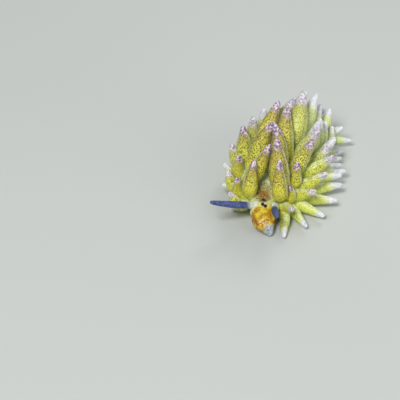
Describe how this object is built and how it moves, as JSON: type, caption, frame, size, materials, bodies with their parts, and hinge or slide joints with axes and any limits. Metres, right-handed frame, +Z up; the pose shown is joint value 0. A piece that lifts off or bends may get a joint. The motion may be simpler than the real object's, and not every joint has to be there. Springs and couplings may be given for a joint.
{
  "type": "sea slug model",
  "caption": "Life-size still model of a small leaf-sheep sea slug, crawling, with leaf-like green cerata in rows on its back, two rhinophores and a flat foot.",
  "frame": {"origin": "centre of the whole animal's box in plan, at the level of the flat sole", "axes": "+Z up; -Y is the way the animal faces, +X is its left side, and the body runs back along +Y"},
  "size_m": [0.0066, 0.01, 0.0045],
  "materials": {
    "head_skin": "wet translucent skin, orange-yellow with brown specks, grey-white snout",
    "eye": "glossy black",
    "rhinophore_skin": "wet skin, blue-violet with a white base and tip",
    "body_skin": "wet translucent skin over yellow-green grains, pale rims and violet-white tips",
    "foot_skin": "wet translucent off-white skin"
  },
  "bodies": {
    "root": {"head": "head_skin", "eye_left": "eye", "eye_right": "eye", "rhinophore_left": "rhinophore_skin", "rhinophore_right": "rhinophore_skin", "trunk_front": "body_skin", "trunk_middle": "body_skin", "trunk_rear": "body_skin", "tail": "body_skin", "foot": "foot_skin"}
  },
  "joints": []
}
